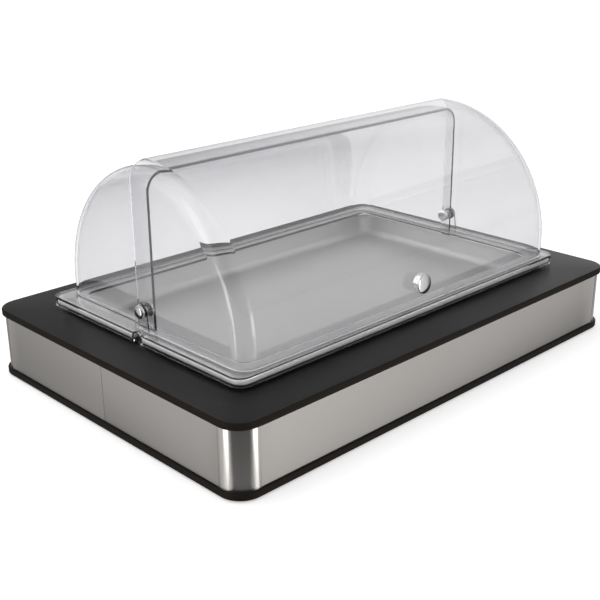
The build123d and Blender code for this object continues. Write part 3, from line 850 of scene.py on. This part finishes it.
# %% Studio
world = bpy.data.worlds.new("Studio")
bpy.context.scene.world = world
world.use_nodes = True
tree = world.node_tree
tree.nodes.clear()
sky_out = tree.nodes.new("ShaderNodeOutputWorld")
sky = tree.nodes.new("ShaderNodeBackground")
tree.links.new(sky.outputs[0], sky_out.inputs[0])
direction = tree.nodes.new("ShaderNodeTexCoord").outputs["Generated"]
parts = tree.nodes.new("ShaderNodeSeparateXYZ")
tree.links.new(direction, parts.inputs[0])
height = parts.outputs["Z"]
flat = tree.nodes.new("ShaderNodeCombineXYZ")
tree.links.new(parts.outputs["X"], flat.inputs["X"])
tree.links.new(parts.outputs["Y"], flat.inputs["Y"])
level_way = tree.nodes.new("ShaderNodeVectorMath")
level_way.operation = "NORMALIZE"
tree.links.new(flat.outputs[0], level_way.inputs[0])


def towards(azimuth, half, soft):
    """1 within half a width of a compass direction in the plan, falling to 0 over a soft edge."""
    node = tree.nodes.new("ShaderNodeVectorMath")
    node.operation = "DOT_PRODUCT"
    tree.links.new(level_way.outputs[0], node.inputs[0])
    node.inputs[1].default_value = (math.cos(math.radians(azimuth)), math.sin(math.radians(azimuth)), 0)
    inner, outer = math.cos(math.radians(half - soft)), math.cos(math.radians(half + soft))
    return ranged(tree, node.outputs["Value"], 0.0, 1.0, outer, inner)


def below(top, soft):
    """1 under a height, falling to 0 above it; heights are sines of the elevation."""
    return ranged(tree, height, 1.0, 0.0, top - soft, top + soft)


def between(low, high, soft):
    """1 between two heights, falling to 0 outside them."""
    return math_node(tree, "MULTIPLY", ranged(tree, height, 0.0, 1.0, low - soft, low + soft), below(high, soft))


def either(factor, first, second):
    """A Mix node between two strengths."""
    node = tree.nodes.new("ShaderNodeMix")
    tree.links.new(factor, node.inputs["Factor"])
    for place, value in (("A", first), ("B", second)):
        if isinstance(value, bpy.types.NodeSocket):
            tree.links.new(value, node.inputs[place])
        else:
            node.inputs[place].default_value = value
    return node.outputs["Result"]


MIRRORED_GREY, DIFFUSE_LEVEL, SIDE_SOFTNESS = 0.5, 0.75, 0.04
# Azimuth, half width, lowest and highest sine of elevation, softness, strength added to the mirrored grey.
STUDIO_SIDES = [
    (-54, 18, -1.2, 0.5, 12, 0.25),
    (-56, 8, -1.2, 0.5, 5, 0.09),
    (-22, 6, -1.2, 0.5, 6, -0.28),
    (118, 28, -1.2, 0.5, 6, -0.18),
    (141, 17, -1.2, 0.5, 4, 0.31),
    (-130, 40, -1.2, 0.5, 6, -0.4),
    (30, 14, 0.1, 0.6, 12, 0.7),
    (46, 34, -1.2, -0.12, 8, -0.3),
    (180, 6, -1.2, -0.4, 1.5, 0.6),
    (-66, 6, -1.2, -0.4, 1.5, 0.5),
    (-130, 34, -1.2, -0.5, 8, 0.12),
    (176, 5, -0.4, -0.24, 1.5, 5.5),
    (173, 9, -0.24, 0.02, 1.5, 6.5),
    (170, 11, 0.02, 0.75, 1.5, 1.4),
    (-71, 6, -0.4, -0.24, 1.5, 2.8),
    (-75, 9, -0.24, 0.02, 1.5, 6.0),
    (-77, 10, 0.02, 0.2, 1.5, 1.4),
]
# Azimuth, half width, softness and strength of the light on the tray from above the horizon.
TRAY_SIDES = [(-50, 50, 25, 0.7), (130, 50, 25, 1.3)]
mirrored = MIRRORED_GREY
for azimuth, half, low, high, soft, strength in STUDIO_SIDES:
    side = math_node(tree, "MULTIPLY", towards(azimuth, half, soft), between(low, high, SIDE_SOFTNESS))
    mirrored = math_node(tree, "MULTIPLY_ADD", side, strength, mirrored)
path = tree.nodes.new("ShaderNodeLightPath")
depth = math_node(tree, "ADD", path.outputs["Glossy Depth"], path.outputs["Diffuse Depth"])
bounced = math_node(tree, "GREATER_THAN", depth, 0.5)
tray_light = ranged(tree, height, 0.4, 0.7, -0.1, 0.2)
above = ranged(tree, height, 0.0, 1.0, -0.05, 0.1)
for azimuth, half, soft, strength in TRAY_SIDES:
    lobe = math_node(tree, "MULTIPLY", towards(azimuth, half, soft), above)
    tray_light = math_node(tree, "MULTIPLY_ADD", lobe, strength, tray_light)
under_cover = either(bounced, MIRRORED_GREY, tray_light)
reflected = either(path.outputs["Is Transmission Ray"], mirrored, under_cover)
plain = either(path.outputs["Is Camera Ray"], DIFFUSE_LEVEL, 1.0)
tree.links.new(either(path.outputs["Is Glossy Ray"], plain, reflected), sky.inputs["Strength"])
sky.inputs["Color"].default_value = (1, 1, 1, 1)
world.cycles.sampling_method = "NONE"
print("world ready")

# %% Soft lamp
def soft_lamp(name, place, size, power):
    """A square area lamp that looks at the middle of the case."""
    data = bpy.data.lights.new(name, "AREA")
    data.size, data.energy = size, power
    lamp = bpy.data.objects.new(name, data)
    lamp.location = place
    lamp.rotation_mode = "QUATERNION"
    lamp.rotation_quaternion = (Vector((0, 0, 0.1)) - Vector(place)).to_track_quat("-Z", "Y")
    bpy.context.scene.collection.objects.link(lamp)
    lamp.visible_glossy = False
    lamp.visible_camera = False
    lamp.visible_transmission = False
    print(f"{name}: {power} W over a square of {size} m")


soft_lamp("Key", (-0.5, 0.3, 1.7), 1.4, 8.0)

# %% Camera
FOCAL_PIXELS, PICTURE_PIXELS, SENSOR = 1034.796, 600.0, 36.0
CAMERA_AT = np.array([-0.842886, -0.841531, 0.517053])
RIGHT = np.array([0.716027, -0.698038, -0.007009])
DOWN = np.array([-0.253994, -0.251162, -0.934026])
AHEAD = np.array([0.650225, 0.670568, -0.357136])
camera_data = bpy.data.cameras.new("Camera")
camera_data.sensor_width = SENSOR
camera_data.lens = FOCAL_PIXELS * SENSOR / PICTURE_PIXELS
camera_data.clip_start, camera_data.clip_end = 0.05, 100.0
camera = bpy.data.objects.new("Camera", camera_data)
turn = np.eye(4)
turn[:3, 0], turn[:3, 1], turn[:3, 2], turn[:3, 3] = RIGHT, -DOWN, -AHEAD, CAMERA_AT
camera.matrix_world = Matrix(turn.tolist())
bpy.context.scene.collection.objects.link(camera)
bpy.context.scene.camera = camera
print("lens", round(camera_data.lens, 2), "mm")

# %% [markdown]
# ## View settings
#
# The Standard view keeps colours as they are written.

# %% Finish
bpy.context.scene.view_settings.view_transform = "Standard"
